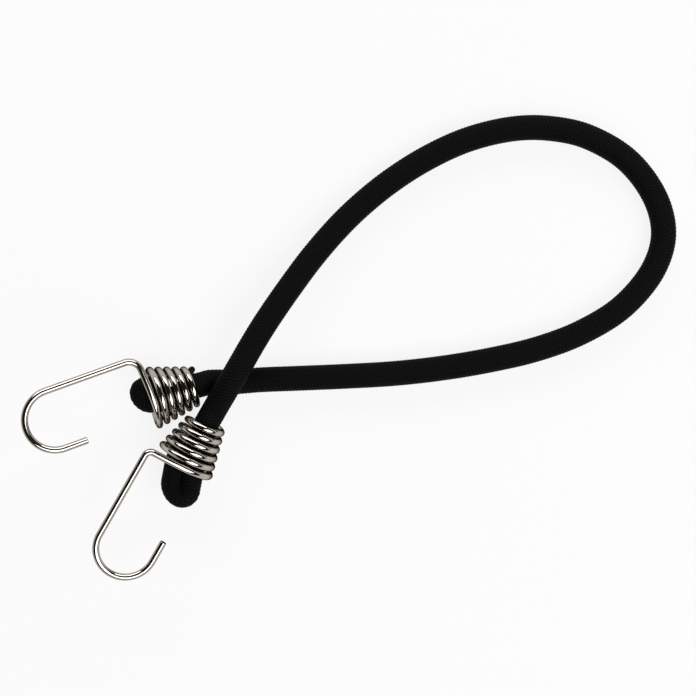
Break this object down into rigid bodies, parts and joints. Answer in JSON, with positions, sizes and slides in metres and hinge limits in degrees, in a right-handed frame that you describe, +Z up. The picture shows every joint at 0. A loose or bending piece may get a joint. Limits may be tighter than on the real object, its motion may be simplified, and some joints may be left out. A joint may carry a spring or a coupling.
{
  "type": "bungee cord",
  "caption": "Elastic bungee cord: a black braided sheath over rubber strands, with a wound steel wire hook at each end, for tying loads down.",
  "frame": {"origin": "on the surface that the cord lies on, under the middle of the box round both hooks and the cord ends in them", "axes": "+Z up from that surface; seen from above as in the picture, +X runs to the right, towards the loop, and +Y up the picture"},
  "size_m": [0.2491, 0.1789, 0.0356],
  "materials": {
    "braid": "black braided polyester yarn",
    "rubber": "natural latex",
    "plated_steel": "bright nickel plate"
  },
  "bodies": {
    "cord": {"braided_sheath": "braid", "rubber_strand_1": "rubber", "rubber_strand_2": "rubber", "rubber_strand_3": "rubber", "rubber_strand_4": "rubber", "rubber_strand_5": "rubber", "rubber_strand_6": "rubber", "rubber_strand_7": "rubber"},
    "cord_end_a": {"sheath_end_a": "braid", "strand_end_a_1": "rubber", "strand_end_a_2": "rubber", "strand_end_a_3": "rubber", "strand_end_a_4": "rubber", "strand_end_a_5": "rubber", "strand_end_a_6": "rubber", "strand_end_a_7": "rubber"},
    "hook_a": {"wire_hook_a": "plated_steel"},
    "cord_end_b": {"sheath_end_b": "braid", "strand_end_b_1": "rubber", "strand_end_b_2": "rubber", "strand_end_b_3": "rubber", "strand_end_b_4": "rubber", "strand_end_b_5": "rubber", "strand_end_b_6": "rubber", "strand_end_b_7": "rubber"},
    "hook_b": {"wire_hook_b": "plated_steel"}
  },
  "joints": [
    {"name": "stretch_a", "type": "slide", "parent": "cord", "child": "cord_end_a", "axis": [-0.5538, -0.821, 0.1392], "range_m": [0, 0.15], "stiffness_N_per_m": 900, "deforming": ["braided_sheath", "rubber_strand_1", "rubber_strand_2", "rubber_strand_3", "rubber_strand_4", "rubber_strand_5", "rubber_strand_6", "rubber_strand_7"]},
    {"name": "swivel_a", "type": "hinge", "parent": "cord_end_a", "child": "hook_a", "pos_m": [0.0215, 0.0018, 0.01165], "axis": [-0.4993, -0.8648, -0.0523], "range_deg": [-60, 45]},
    {"name": "stretch_b", "type": "slide", "parent": "cord", "child": "cord_end_b", "axis": [-0.9986, -0.0523, 0], "range_m": [0, 0.15], "stiffness_N_per_m": 900, "deforming": ["braided_sheath", "rubber_strand_1", "rubber_strand_2", "rubber_strand_3", "rubber_strand_4", "rubber_strand_5", "rubber_strand_6", "rubber_strand_7"]},
    {"name": "swivel_b", "type": "hinge", "parent": "cord_end_b", "child": "hook_b", "pos_m": [0.0087, 0.027, 0.01216], "axis": [-0.9412, -0.2522, 0.225], "range_deg": [-100, 65]}
  ]
}
